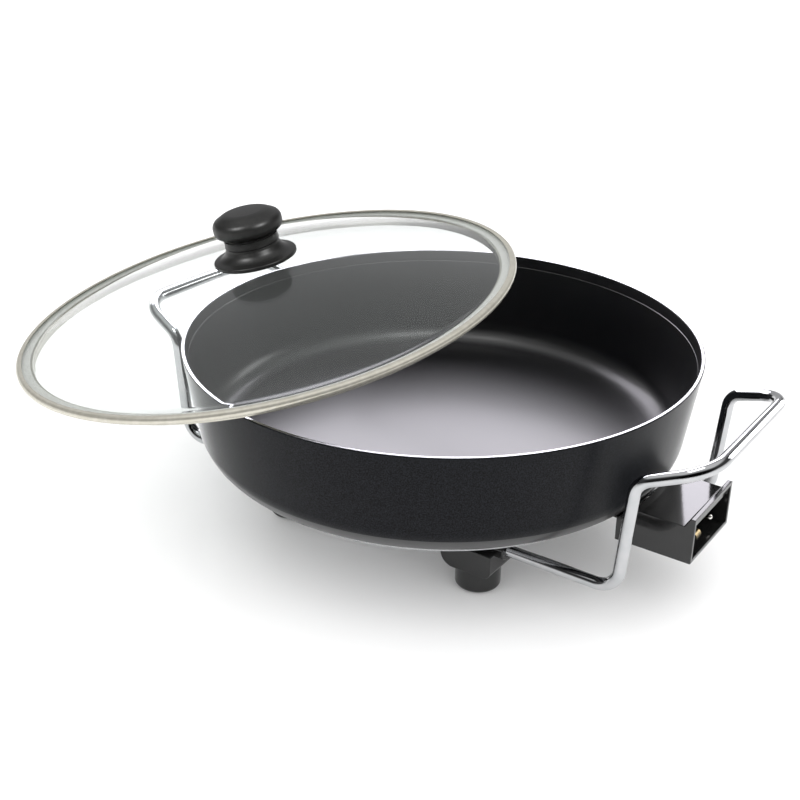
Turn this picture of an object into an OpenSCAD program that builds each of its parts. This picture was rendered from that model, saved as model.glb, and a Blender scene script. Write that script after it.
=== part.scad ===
// Round electric skillet: a deep coated pan on four feet, two bent wire handles, a socket
// housing for a removable thermostat plug, and a loose domed glass lid that leans on the rim.
// Origin on the table under the pan's axis, +X towards the socket, +Z up, millimetres.

/* [Pan] */
// Outer diameter of the rim
pan_d = 400; // [380:1:420]
// Outer height from the flat base to the rim
pan_h = 88; // [82:1:96]
// Height of the base above the table
stand_h = 62; // [58:1:72]
// Thickness of the floor
floor_t = 8; // [7:0.5:11]
// How much smaller the base's radius is than the rim's
wall_lean = 13; // [8:0.5:18]
// Radius between the wall and the base, outside
outer_fillet = 30; // [26:1:34]
// Radius between the wall and the floor, inside
inner_fillet = 20; // [16:1:26]
// How much smaller the flat, bare base's radius is than the pan's there
plate_inset = 16; // [13:0.5:20]
// Width of the bare rim, which is the wall's thickness there
rim_w = 3.2; // [2.8:0.1:4.5]
// Depth of the small step inside, under the rim
step_drop = 9; // [6:0.5:14]
// Width of the small step inside
step_w = 0.8; // [0.5:0.1:1.5]

/* [Feet] */
// Distance between the feet along the handle axis
foot_span_x = 177; // [173:1:182]
// Distance between the feet across the handle axis
foot_span_y = 163; // [159:1:170]
// Diameter of a foot's leg
leg_d = 34; // [30:0.5:38]
// Height of the leg's straight part
leg_h = 18; // [16:0.5:20]
// Reach of a foot's crossbar towards the handle
bar_front = 19.5; // [18.5:0.5:21]
// Reach of a foot's crossbar the other way
bar_back = 23; // [21:0.5:25]
// Height of the crossbar
bar_h = 20; // [18:0.5:21]
// Diameter of a rubber pad
pad_d = 25; // [22:0.5:26]
// Thickness of a rubber pad
pad_t = 3; // [2.5:0.1:4]
// How far a pad stands out of its foot
pad_proud = 1.5; // [1:0.1:2]

/* [Handles] */
// Diameter of the handle wire
wire_d = 9.2; // [8:0.1:10]
// Depth of the wire's legs below the pan's base
wire_drop = 24.3; // [23:0.1:26]
// Distance of the riser's top outside the rim
riser_gap = 5; // [1:0.5:8]
// How much closer to the pan the riser's bottom is
riser_lean = 6.5; // [2:0.5:9]
// Depth of the riser's top below the rim
grip_drop = 25.5; // [22:0.5:34]
// Reach of the grip beyond the riser
grip_reach = 45.5; // [44:0.5:60]
// Rise of the grip towards its end bar
grip_rise = 16.5; // [8:0.5:24]
// How much the grip narrows on each side towards its end bar
grip_taper = 11.5; // [4:0.5:16]
// Bend radius of the wire at the riser's top
bend_r = 14; // [12:0.5:16]
// Bend radius of the wire at the riser's bottom
low_bend_r = 17; // [13:0.5:19]
// Bend radius of the wire at the end bar
corner_r = 28; // [20:0.5:32]

/* [Heating element] */
// Diameter of the element's ring at its centreline
ring_d = 168; // [160:1:172]
// Diameter of the element's sheath
sheath_d = 7; // [6:0.1:8]
// Depth of the element's centreline below the base
element_drop = 5; // [4.6:0.1:6]
// Radius of the bend from the ring into each straight end
turn_r = 16; // [12:0.5:20]
// Width of the cast rib that holds the element
rib_w = 14; // [12:0.5:16]
// Thickness of the strip that a clip is bent from
clip_t = 1.2; // [0.8:0.1:1.5]
// Width of a clip
clip_w = 11; // [9:0.5:14]

/* [Socket] */
// Width of the housing
housing_w = 68; // [65:0.2:76]
// Height of the housing at its collar
housing_h = 35.6; // [34:0.2:39]
// Height of the collar's top above the pan's base
housing_rise = 19; // [17.5:0.5:21]
// Length of the housing
housing_l = 58; // [56:0.5:64]
// Distance of the housing's mouth outside the rim
mouth_out = 31.5; // [28:0.5:36]
// Wall thickness of the housing
housing_wall = 2.8; // [2:0.1:3.4]
// Length of the raised collar at the mouth, with its slope
collar_l = 7.5; // [7:0.5:10]
// Length of the slope up to the collar
collar_slope = 4; // [3:0.5:4.5]
// How far the housing's top plate lies below the collar
top_step = 7; // [5:0.5:8]
// Diameter of a terminal pin
pin_d = 5; // [4:0.1:5.6]
// Distance between the terminal pins
pin_span = 32; // [30:0.5:36]
// Distance of the pin tips inside the mouth
pin_inset = 5.5; // [3:0.5:12]
// Outer diameter of the probe sleeve
sleeve_d = 8.4; // [7.6:0.1:9]
// Bore of the probe sleeve
sleeve_bore = 6.4; // [5:0.1:6.6]
// Length of the probe sleeve
sleeve_l = 104; // [90:1:110]
// Thickness of the steel bracket
bracket_t = 1.5; // [1:0.1:2]

/* [Lid] */
// How much larger the lid's radius is than the rim's
lid_over = 2; // [1:0.5:4]
// Thickness of the glass
glass_t = 3.6; // [3:0.1:4.5]
// Rise of the glass dome above its flat edge
dome_h = 34; // [26:1:44]
// Thickness of the band's sheet
band_t = 0.8; // [0.6:0.1:1]
// Width of the lip that laps over the glass
lip_w = 2; // [1.5:0.1:3]
// Width of the flange under the glass
flange_w = 12.5; // [11:0.5:15]
// Depth of the skirt below the flange
skirt_h = 6; // [4:0.5:10]
// Thickness of the sealing bead under the glass
bead_t = 0.6; // [0.4:0.1:1]

/* [Knob] */
// Diameter of the knob's base
knob_base_d = 66; // [60:1:72]
// Diameter of the knob's neck
neck_d = 43; // [40:0.5:46]
// Diameter of the knob's cap
cap_d = 55; // [50:0.5:60]
// Height of the base, without the collar and the cap
base_h = 13; // [11:0.5:16]
// Height of the collar between the two grooves
collar_h = 6; // [5:0.5:9]
// Height of the cap
cap_h = 21; // [19:0.5:25]
// Thickness of each gasket on the glass
gasket_t = 1; // [0.6:0.1:1.5]
// Diameter of the knob screw
knob_screw_d = 5; // [4:0.1:6]

/* [Lid as it leans] */
// Offset of the lid's centre along X
lid_x = -140; // [-145:1:-135]
// Offset of the lid's centre along Y
lid_y = -44; // [-48:0.5:-40]
// Lean of the lid from level
lid_lean = 11; // [9:0.5:13]
// Heading of the lean, from +X
lean_heading = 216; // [212:0.5:220]
// Gap between the leaning lid and the rim at their closest
lid_gap = 0.6; // [0.5:0.1:2]

/* [Hidden] */

$fn = 96;
// Slack round a screw, pin or tube in its own hole
fit = 0.05;
// Slack round the curved element in its groove and under its straight clips
curve_slack = 0.3;
// Slack between the housing or its bracket and the pan's wall
wall_gap = 0.8;
// Overlap of a cut past the face that it opens
past = 1;
// Sides of a bent bar, its turn from one ring to the next, and the rings round the element
bar_sides = 16;
bend_step = 9;
ring_steps = 56;

// Levels and radii of the pan
base_z = stand_h;
rim_z = base_z + pan_h;
floor_z = base_z + floor_t;
rim_r = pan_d / 2;
base_r = rim_r - wall_lean;
plate_r = base_r - plate_inset;
wall_a = atan(wall_lean / pan_h);
edge_round = 0.6;
floor_edge_r = inside_r(floor_z + inner_fillet, step_w) - inner_fillet / cos(wall_a);

// Screws of the feet, the bracket and the clips
foot_screw_d = 4;
foot_head_d = 8;
foot_head_h = 3;
foot_boss_d = 12;
foot_boss_h = 8;
blind_depth = 4.5;
small_screw_d = 3;
small_head_d = 5.6;
small_head_h = 1.8;
clip_screw_in = 2;

// Places of the feet and of the handle wires
foot_x = foot_span_x / 2;
foot_y = foot_span_y / 2;
wire_z = base_z - wire_drop;
wire_seat = 17;
wire_boss_l = 24;
wire_boss_d = wire_d + 6;
riser_top_x = rim_r + riser_gap;
riser_low_x = riser_top_x - riser_lean;
riser_top_z = rim_z - grip_drop;
end_bar_x = riser_top_x + grip_reach;
end_bar_z = riser_top_z + grip_rise;

// Element ring, its straight ends, and the rib and bosses that hold it
element_z = base_z - element_drop;
ring_r = ring_d / 2;
pin_y = pin_span / 2;
turn_a = asin((pin_y + turn_r) / (ring_r + turn_r));
turn_x = (ring_r + turn_r) * cos(turn_a);
rib_r = rib_w / 2;
clip_angles = [90, 180, 270];
clip_boss_d = 9;
clip_boss_out = rib_r + clip_boss_d / 2 + 1;
clip_seat_z = element_z;

// Levels and lengths of the socket
mouth_x = rim_r + mouth_out;
housing_x = mouth_x - housing_l;
housing_top = base_z + housing_rise;
housing_low = housing_top - housing_h;
web_t = 4;
chamber_l = 18;
socket_deep = housing_l - chamber_l - web_t;
web_x = housing_x + chamber_l;
chamber_w = housing_w - 2 * housing_wall;
chamber_low = housing_low + housing_wall;
body_top = housing_top - top_step;
ceiling_z = body_top - housing_wall;
recess_l = collar_l - collar_slope - 1;
block_t = 10;
block_x = web_x - block_t;
block_w = 58;
shank_d = pin_d + 0.4;
bush_l = 6;
sheath_end = block_x - bush_l;
pin_tip = mouth_x - pin_inset;
sleeve_inset = 17;
sleeve_tip = mouth_x - sleeve_inset;
sleeve_root = sleeve_tip - sleeve_l;
saddle_w = 14;
saddle_l = 44;
tab_w = 10;
tab_y = chamber_w / 2 - tab_w / 2 - 1;
tab_l = 30;
tab_screw_in = 20;
tab_screw_x = housing_x - tab_screw_in;
block_screw_l = 5;
toe_l = 7;

// Levels of the lid, from the middle of the band's roll
lid_r = rim_r + lid_over;
seat_h = glass_t + bead_t + 4 * fit;
roll_r = seat_h / 2 + band_t;
bead_z = -seat_h / 2;
glass_low = bead_z + bead_t;
edge_grip = 0.6;
glass_r = lid_r - roll_r + edge_grip;
dome_inset = 2;
dome_edge_r = lid_r - flange_w - dome_inset;
dome_r = (pow(dome_edge_r, 2) + pow(dome_h, 2)) / (2 * dome_h);
glass_mid = glass_low + dome_h;
skirt_low = -roll_r - skirt_h;
knob_low = glass_mid + glass_t;
groove = 1.2;
insert_d = knob_screw_d + 4;
insert_l = cap_h / 2 + 2;
gasket_r = 10;
under_glass = dome_z(gasket_r, 0) - fit;

// Height of the leaning lid: its skirt clears the rim where the two circles cross in plan
skirt_r = lid_r - flange_w;
lid_shift = norm([lid_x, lid_y]);
cross_near = (pow(rim_r, 2) - pow(skirt_r, 2) + pow(lid_shift, 2)) / (2 * lid_shift);
cross_side = sqrt(pow(rim_r, 2) - pow(cross_near, 2));
toward = [lid_x, lid_y] / lid_shift;
cross_front = cross_near * toward + cross_side * [-toward.y, toward.x];
lean_fall = (cross_front - [lid_x, lid_y]) * [cos(lean_heading), sin(lean_heading)] * tan(lid_lean);
lid_z = rim_z + lid_gap - skirt_low / cos(lid_lean) + lean_fall;

// Points on an arc in a profile's plane
function arc(c, r, a0, a1, n) =
    [for (i = [0:n]) c + r * [cos(a0 + (a1 - a0) * i / n), sin(a0 + (a1 - a0) * i / n)]];
// Outer radius of the pan's wall at a height
function wall_r(z) = base_r + (z - base_z) * tan(wall_a);
// Inner radius of the pan's wall at a height, with the step's width taken off
function inside_r(z, step) = wall_r(z) - rim_w - step;
function unit(v) = v / norm(v);
function turn(a, p, b) = acos(unit(p - a) * unit(b - p));
function reach(a, p, b, r) = r * tan(turn(a, p, b) / 2);

// Outside of the pan as a profile, grown by a gap: the flat base, its edge, the fillet and the wall
function outside(gap) =
    let (
        r = outer_fillet + gap,
        z = base_z - gap,
        c = base_r + gap / cos(wall_a) + outer_fillet * tan(wall_a) - r / cos(wall_a),
        edge = plate_r + gap)
    concat(
        [[0, z], [edge, z]],
        arc([c, z + r], r, -acos((edge - c) / r), -wall_a, 14),
        [[wall_r(rim_z) + gap, rim_z - edge_round]]);

// Points round the bend at corner p, between the runs that come from a and go to b
function bend_points(a, p, b, r) =
    let (
        u = unit(p - a),
        w = unit(b - p),
        n = unit(w - u * (u * w)),
        c = p - u * reach(a, p, b, r) + n * r,
        steps = ceil(turn(a, p, b) / bend_step))
    [for (i = [0:steps])
        let (t = turn(a, p, b) * i / steps) c - r * n * cos(t) + r * u * sin(t)];

// Sideways direction at each point of a path, carried along it without twist
function sideways(tangents, n, i = 0) =
    i == len(tangents) ? [] :
    let (m = unit(n - tangents[i] * (n * tangents[i])))
    concat([m], sideways(tangents, m, i + 1));

// Round bar along a path of points
module sweep(path, d, seed) {
    last = len(path) - 1;
    sides = bar_sides;
    tangents = [for (i = [0:last]) unit(path[min(i + 1, last)] - path[max(i - 1, 0)])];
    side = sideways(tangents, seed);
    rings = [
        for (i = [0:last], k = [0:sides - 1])
        let (t = 360 * k / sides)
        path[i] + d / 2 * (side[i] * cos(t) + cross(tangents[i], side[i]) * sin(t))];
    walls = [
        for (i = [0:last - 1], k = [0:sides - 1])
        let (a = i * sides + k, b = i * sides + (k + 1) % sides)
        each [[a, a + sides, b + sides], [a, b + sides, b]]];
    polyhedron(rings, concat(
        [[for (k = [0:sides - 1]) k]],
        walls,
        [[for (k = [sides - 1:-1:0]) last * sides + k]]));
}

module tube(r_out, r_in, h) {
    difference() {
        cylinder(h = h, r = r_out);
        translate([0, 0, -past]) cylinder(h = h + 2 * past, r = r_in);
    }
}

module at_feet() {
    for (x = [-foot_x, foot_x], y = [-foot_y, foot_y]) translate([x, y, 0]) children();
}

module at_clip_screws() {
    for (a = clip_angles, out = [-clip_boss_out, clip_boss_out])
        rotate(a) translate([ring_r + out, 0, 0]) children();
}

module at_tab_screws() {
    for (y = [-tab_y, tab_y]) translate([tab_screw_x, y, 0]) children();
}

// Screw that points up, with its head's underside at z = 0
module screw(d, head_d, head_h, l) {
    cylinder(h = l, d = d);
    translate([0, 0, -head_h]) difference() {
        cylinder(h = head_h, d = head_d);
        translate([0, 0, -past]) cylinder(h = head_h / 2 + past, d = head_d * 0.5, $fn = 6);
    }
}

// Half of the element's line: from its straight end through the bend onto the ring
function element_half(side) = concat(
    [[sheath_end, side * pin_y, element_z]],
    [for (q = arc([turn_x, pin_y + turn_r], turn_r, -90, -180 + turn_a, ring_steps / 4))
        [q.x, side * q.y, element_z]]);

module pan() {
    rib_h = base_z - element_z + past;
    color([0.13, 0.13, 0.14]) difference() {
        union() {
            rotate_extrude($fn = 180) polygon(concat(
                outside(0),
                [[rim_r - edge_round, rim_z], [rim_r - rim_w + edge_round, rim_z],
                 [rim_r - rim_w, rim_z - edge_round],
                 [inside_r(rim_z - step_drop, 0), rim_z - step_drop],
                 [inside_r(rim_z - step_drop - step_w, step_w), rim_z - step_drop - step_w]],
                arc([floor_edge_r, floor_z + inner_fillet], inner_fillet, -wall_a, -90, 14),
                [[0, floor_z]]));
            at_feet() translate([0, 0, base_z - foot_boss_h])
                cylinder(h = foot_boss_h + past, d = foot_boss_d);
            rotate(turn_a) rotate_extrude(angle = 360 - 2 * turn_a)
                translate([ring_r - rib_r, element_z]) square([rib_w, rib_h]);
            at_clip_screws() translate([0, 0, clip_seat_z])
                cylinder(h = rib_h, d = clip_boss_d);
            translate([housing_x - tab_l - saddle_l, -saddle_w / 2, element_z])
                cube([saddle_l, saddle_w, rib_h]);
        }
        translate([0, 0, element_z]) rotate_extrude()
            translate([ring_r, 0]) circle(d = sheath_d + 2 * curve_slack);
        at_feet() translate([0, 0, base_z - foot_boss_h - past])
            cylinder(h = foot_boss_h + past + blind_depth, d = foot_screw_d + 2 * fit);
        at_clip_screws() translate([0, 0, clip_seat_z - past])
            cylinder(h = rib_h + clip_screw_in, d = small_screw_d + 2 * fit);
        at_tab_screws() translate([0, 0, base_z - past])
            cylinder(h = past + blind_depth, d = small_screw_d + 2 * fit);
        translate([sleeve_root - past, 0, element_z]) rotate([0, 90, 0])
            cylinder(h = sleeve_l, d = sleeve_d + 2 * fit);
    }
}

module heating_element() {
    start = element_half(1);
    back = element_half(-1);
    ring = [for (i = [1:ring_steps - 1])
        let (t = turn_a + (360 - 2 * turn_a) * i / ring_steps)
        [ring_r * cos(t), ring_r * sin(t), element_z]];
    path = concat(start, ring, [for (i = [len(back) - 1:-1:0]) back[i]]);
    color([0.55, 0.54, 0.52]) sweep(path, sheath_d, [0, 0, 1]);
}

// Sheet strap over the tube, with an ear on each side for its screw
module clip() {
    bow_r = sheath_d / 2 + curve_slack;
    ear = clip_boss_out + clip_boss_d / 2 - 1;
    difference() {
        union() {
            rotate([90, 0, 0]) cylinder(h = clip_w, r = bow_r + clip_t, center = true);
            translate([-ear, -clip_w / 2, -clip_t]) cube([2 * ear, clip_w, clip_t]);
        }
        rotate([90, 0, 0]) cylinder(h = clip_w + 2 * past, r = bow_r, center = true);
        translate([-ear - past, -clip_w, 0]) cube([2 * ear + 2 * past, 2 * clip_w, 2 * sheath_d]);
        for (x = [-clip_boss_out, clip_boss_out])
            translate([x, 0, -clip_t - past]) cylinder(h = clip_t + 2 * past, d = small_screw_d + 2 * fit);
    }
}

module element_clips() {
    color([0.70, 0.70, 0.68])
        for (a = clip_angles) rotate(a) translate([ring_r, 0, clip_seat_z]) clip();
}

module element_clip_screws() {
    length = element_drop + clip_t + clip_screw_in - 0.5;
    color([0.75, 0.75, 0.73]) at_clip_screws() translate([0, 0, clip_seat_z - clip_t])
        screw(small_screw_d, small_head_d, small_head_h, length);
}

// Pin with a thicker shank as far as the socket's back face
module terminal_pin(y) {
    shank_l = web_x + web_t - sheath_end;
    tip_l = pin_tip - sheath_end - pin_d / 2;
    color([0.80, 0.78, 0.72]) translate([sheath_end, y, element_z]) rotate([0, 90, 0]) {
        cylinder(h = shank_l, d = shank_d);
        cylinder(h = tip_l, d = pin_d);
        translate([0, 0, tip_l]) sphere(d = pin_d, $fn = 48);
    }
}

module terminal_pin_front() { terminal_pin(-pin_y); }
module terminal_pin_back() { terminal_pin(pin_y); }

module pin_insulators() {
    color([0.90, 0.88, 0.82]) for (y = [-pin_y, pin_y])
        translate([sheath_end, y, element_z]) rotate([0, 90, 0])
            tube(sheath_d / 2, shank_d / 2 + fit, bush_l);
}

module terminal_block() {
    color([0.88, 0.86, 0.80]) difference() {
        translate([block_x, -block_w / 2, chamber_low])
            cube([block_t, block_w, base_z - wall_gap - chamber_low]);
        for (y = [-pin_y, pin_y]) translate([block_x - past, y, element_z]) rotate([0, 90, 0])
            cylinder(h = block_t + 2 * past, d = shank_d + 2 * fit);
        translate([block_x - past, 0, element_z]) rotate([0, 90, 0])
            cylinder(h = block_t + 2 * past, d = sleeve_d + 2 * fit);
        for (y = [-tab_y, tab_y]) translate([block_x + block_t / 2, y, chamber_low - past])
            cylinder(h = block_screw_l + 1 + past, d = small_screw_d + 2 * fit);
    }
}

module probe_sleeve() {
    end_wall = 1.5;
    color([0.72, 0.72, 0.70]) translate([sleeve_root, 0, element_z]) rotate([0, 90, 0])
        difference() {
            cylinder(h = sleeve_l, d = sleeve_d);
            translate([0, 0, end_wall]) cylinder(h = sleeve_l, d = sleeve_bore);
        }
}

// Strip on the socket's floor with a sprung bow that meets the plug
module earth_contact() {
    strip_l = socket_deep - 8;
    strip_w = 8;
    strip_t = 0.8;
    bow_r = 4;
    color([0.80, 0.66, 0.38]) translate([web_x + web_t, -strip_w / 2, chamber_low]) {
        cube([strip_l, strip_w, strip_t]);
        translate([strip_l - bow_r, 0, 0]) difference() {
            rotate([-90, 0, 0]) cylinder(h = strip_w, r = bow_r);
            translate([0, -past, 0]) rotate([-90, 0, 0])
                cylinder(h = strip_w + 2 * past, r = bow_r - strip_t);
            translate([-2 * bow_r, -past, -2 * bow_r])
                cube([4 * bow_r, strip_w + 2 * past, 2 * bow_r]);
        }
    }
}

module socket_housing() {
    collar_x = mouth_x - collar_l;
    color([0.06, 0.06, 0.06]) difference() {
        rotate([90, 0, 0]) linear_extrude(housing_w, center = true) polygon([
            [housing_x, housing_low], [mouth_x, housing_low], [mouth_x, housing_top],
            [collar_x + collar_slope, housing_top], [collar_x, body_top], [housing_x, body_top]]);
        // recess in the collar, round the plug's flange
        translate([mouth_x - recess_l, -chamber_w / 2, chamber_low])
            cube([recess_l + past, chamber_w, housing_h - 2 * housing_wall]);
        // socket that takes the plug
        translate([web_x + web_t, -chamber_w / 2, chamber_low])
            cube([socket_deep + past, chamber_w, ceiling_z - chamber_low]);
        // terminal chamber behind it, open at the back and up to the pan
        translate([housing_x - past, -chamber_w / 2, chamber_low])
            cube([web_x - housing_x + past, chamber_w, ceiling_z - chamber_low]);
        rotate_extrude($fn = 180) polygon(concat(outside(wall_gap), [[0, rim_z]]));
        for (y = [-pin_y, pin_y]) translate([web_x - past, y, element_z]) rotate([0, 90, 0])
            cylinder(h = web_t + 2 * past, d = shank_d + 1);
        translate([web_x - past, 0, element_z]) rotate([0, 90, 0])
            cylinder(h = web_t + 2 * past, d = sleeve_d + 1);
        for (y = [-tab_y, tab_y], x = [housing_x + toe_l / 2, block_x + block_t / 2])
            translate([x, y, housing_low - past])
                cylinder(h = housing_wall + 2 * past, d = small_screw_d + 2 * fit);
    }
}

// Bent sheet: an upright plate, two tabs under the pan and two toes in the housing
module housing_bracket() {
    plate_w = chamber_w - 1;
    hole_d = sheath_d + 1;
    color([0.10, 0.10, 0.10]) difference() {
        union() {
            translate([housing_x - bracket_t, -plate_w / 2, chamber_low])
                cube([bracket_t, plate_w, base_z - chamber_low]);
            for (y = [-tab_y, tab_y]) {
                translate([housing_x - tab_l, y - tab_w / 2, base_z - bracket_t])
                    cube([tab_l, tab_w, bracket_t]);
                translate([housing_x - bracket_t, y - tab_w / 2, chamber_low])
                    cube([toe_l + bracket_t, tab_w, bracket_t]);
            }
        }
        for (y = [-pin_y, pin_y]) translate([housing_x, y, element_z]) rotate([0, 90, 0])
            cylinder(h = 4 * bracket_t, d = hole_d, center = true);
        translate([housing_x, 0, element_z]) rotate([0, 90, 0])
            cylinder(h = 4 * bracket_t, d = sleeve_d + 1, center = true);
        translate([housing_x - 2 * bracket_t, -pin_y - hole_d / 2, element_z])
            cube([4 * bracket_t, pin_span + hole_d, base_z]);
        at_tab_screws() translate([0, 0, base_z - bracket_t - past])
            cylinder(h = bracket_t + 2 * past, d = small_screw_d + 2 * fit);
        for (y = [-tab_y, tab_y]) translate([housing_x + toe_l / 2, y, chamber_low - past])
            cylinder(h = bracket_t + 2 * past, d = small_screw_d + 2 * fit);
    }
}

module housing_screws() {
    color([0.75, 0.75, 0.73]) for (y = [-tab_y, tab_y]) {
        translate([housing_x + toe_l / 2, y, housing_low])
            screw(small_screw_d, small_head_d, small_head_h, housing_wall + bracket_t + 1);
        translate([block_x + block_t / 2, y, housing_low])
            screw(small_screw_d, small_head_d, small_head_h, housing_wall + block_screw_l);
    }
}

module bracket_screws() {
    color([0.75, 0.75, 0.73]) at_tab_screws() translate([0, 0, base_z - bracket_t])
        screw(small_screw_d, small_head_d, small_head_h, bracket_t + blind_depth - 0.5);
}

// Moulded foot: a round leg, a crossbar as wide as the leg, a column and a boss for the wire
module foot() {
    leg_r = leg_d / 2;
    column_r = leg_r - 2;
    round_r = 3;
    front_round = 6;
    back_round = 11;
    seat_z = base_z - foot_boss_h;
    head_z = leg_h - 2;
    difference() {
        union() {
            rotate_extrude() polygon(concat(
                [[0, pad_proud]],
                arc([leg_r - round_r, pad_proud + round_r], round_r, -90, 0, 6),
                [[leg_r, leg_h + past], [column_r, leg_h + past], [column_r, base_z], [0, base_z]]));
            rotate([90, 0, 0]) linear_extrude(leg_d, center = true) polygon(concat(
                [[bar_front, leg_h + bar_h], [-bar_back, leg_h + bar_h]],
                arc([back_round - bar_back, leg_h + back_round], back_round, 180, 270, 8),
                arc([bar_front - front_round, leg_h + front_round], front_round, -90, 0, 6)));
            translate([0, 0, wire_z]) rotate([0, 90, 0]) cylinder(h = wire_boss_l, d = wire_boss_d);
        }
        translate([0, 0, pad_proud - past]) cylinder(h = pad_t - pad_proud + past, d = pad_d + 2 * fit);
        translate([0, 0, pad_proud]) cylinder(h = head_z - pad_proud, d = foot_head_d + 1);
        cylinder(h = base_z + past, d = foot_screw_d + 2 * fit);
        translate([0, 0, seat_z]) cylinder(h = foot_boss_h + past, d = foot_boss_d + 2 * fit);
        translate([wire_boss_l - wire_seat, 0, wire_z]) rotate([0, 90, 0])
            cylinder(h = wire_seat + past, d = wire_d + 2 * fit);
    }
}

module foot_at(right, front) {
    color([0.05, 0.05, 0.05])
        translate([right ? foot_x : -foot_x, front ? -foot_y : foot_y, 0])
            mirror([right ? 0 : 1, 0, 0]) foot();
}

module foot_right_front() { foot_at(true, true); }
module foot_right_back() { foot_at(true, false); }
module foot_left_front() { foot_at(false, true); }
module foot_left_back() { foot_at(false, false); }

module foot_pads() {
    color([0.12, 0.12, 0.12]) at_feet() cylinder(h = pad_t, d = pad_d);
}

module foot_screws() {
    head_z = leg_h - 2;
    color([0.75, 0.75, 0.73]) at_feet() translate([0, 0, head_z])
        screw(foot_screw_d, foot_head_d, foot_head_h, base_z + blind_depth - 0.5 - head_z);
}

// One bent wire: foot, leg, riser, arm, end bar and back again
module handle() {
    start_x = foot_x + wire_boss_l - wire_seat + fit;
    side = [for (s = [-1, 1]) [
        [start_x, s * foot_y, wire_z],
        [riser_low_x, s * foot_y, wire_z],
        [riser_top_x, s * foot_y, riser_top_z],
        [end_bar_x, s * (foot_y - grip_taper), end_bar_z]]];
    corners = concat(side[0], [for (i = [3:-1:0]) side[1][i]]);
    radii = [0, low_bend_r, bend_r, corner_r, corner_r, bend_r, low_bend_r, 0];
    last = len(corners) - 1;
    path = concat(
        [corners[0]],
        [for (i = [1:last - 1]) each bend_points(corners[i - 1], corners[i], corners[i + 1], radii[i])],
        [corners[last]]);
    sweep(path, wire_d, [0, 1, 0]);
}

module handle_right() { color([0.85, 0.86, 0.88]) handle(); }
module handle_left() { color([0.85, 0.86, 0.88]) mirror([1, 0, 0]) handle(); }

// Puts a lid part, drawn level round the band's middle, where the lid leans
module leaning() {
    translate([lid_x, lid_y, lid_z])
        rotate(lean_heading) rotate([0, lid_lean, 0]) rotate(-lean_heading) children();
}

// Level of the glass dome's underside at a radius, measured on the dome's own ball
function dome_z(r, lift) = glass_mid + lift - dome_r + sqrt(pow(dome_r, 2) - pow(r, 2));

module lid_glass() {
    steps = 22;
    hole_r = knob_screw_d / 2 + 1.5;
    rings = [for (i = [0:steps]) hole_r + (dome_edge_r - hole_r) * i / steps];
    color([0.80, 0.86, 0.84, 0.4]) leaning() rotate_extrude($fn = 180) polygon(concat(
        [for (r = rings) [r, dome_z(r, 0)]],
        [[glass_r, glass_low], [glass_r, glass_low + glass_t]],
        [for (i = [steps:-1:0]) [rings[i], dome_z(rings[i], glass_t)]]));
}

module lid_band() {
    mid_r = lid_r - roll_r;
    inner = roll_r - band_t;
    color([0.80, 0.78, 0.72]) leaning() rotate_extrude($fn = 180) polygon(concat(
        [[mid_r - lip_w, roll_r]],
        arc([mid_r, 0], roll_r, 90, -90, 14),
        [[skirt_r, -roll_r], [skirt_r, skirt_low], [skirt_r - band_t, skirt_low],
         [skirt_r - band_t, -inner]],
        arc([mid_r, 0], inner, -90, 90, 14),
        [[mid_r - lip_w, inner]]));
}

module band_bead() {
    bead_in = skirt_r + 1;
    bead_out = lid_r - roll_r - 0.2;
    color([0.35, 0.36, 0.35]) leaning() translate([0, 0, bead_z])
        tube(bead_out, bead_in, bead_t, $fn = 180);
}

// Cap of the knob: a mushroom that is drawn in at its foot
module knob_cap() {
    low = knob_low + gasket_t + base_h + collar_h;
    neck_r = neck_d / 2;
    cap_r = cap_d / 2;
    brim_h = 8;
    brim_z = low + brim_h;
    crown = cap_h - brim_h;
    color([0.07, 0.07, 0.07]) leaning() difference() {
        rotate_extrude() polygon(concat(
            [[0, low], [neck_r - groove, low], [neck_r - groove, low + groove],
             [neck_r - 0.5, low + groove]],
            [for (t = [0:10:90]) [
                neck_r + (cap_r - neck_r) * sin(t), brim_z - (brim_h - 2 * groove) * cos(t)]],
            [for (t = [10:10:90]) [cap_r * cos(t), brim_z + crown * sin(t)]]));
        translate([0, 0, low - past]) cylinder(h = insert_l + past, d = insert_d + 2 * fit);
    }
}

module knob_collar() {
    low = knob_low + gasket_t + base_h;
    neck_r = neck_d / 2;
    color([0.07, 0.07, 0.07]) leaning() difference() {
        rotate_extrude() polygon([
            [0, low], [neck_r - groove, low], [neck_r - groove, low + groove / 2],
            [neck_r + 0.3, low + groove / 2], [neck_r - 0.4, low + collar_h / 2],
            [neck_r - 0.2, low + collar_h], [0, low + collar_h]]);
        translate([0, 0, low - past]) cylinder(h = collar_h + 2 * past, d = knob_screw_d + 2 * fit);
    }
}

// Base of the knob: a flared skirt whose underside follows the glass
module knob_base() {
    low = knob_low + gasket_t;
    edge_r = knob_base_d / 2;
    neck_r = neck_d / 2;
    rim_t = 3;
    top = low + base_h;
    edge_z = dome_z(edge_r, glass_t) + 0.5;
    color([0.07, 0.07, 0.07]) leaning() difference() {
        rotate_extrude() polygon(concat(
            [[0, low], [edge_r * 0.5, low], [edge_r - 1, edge_z], [edge_r, edge_z + 1],
             [edge_r, edge_z + rim_t]],
            [for (t = [10:10:90]) [
                edge_r - (edge_r - neck_r) * sin(t),
                top - (top - edge_z - rim_t) * cos(t)]],
            [[0, top]]));
        translate([0, 0, low - past]) cylinder(h = base_h + 2 * past, d = knob_screw_d + 2 * fit);
    }
}

module knob_insert() {
    low = knob_low + gasket_t + base_h + collar_h;
    color([0.78, 0.64, 0.34]) leaning() translate([0, 0, low + fit])
        tube(insert_d / 2, knob_screw_d / 2 + fit, insert_l - 2 * fit);
}

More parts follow.
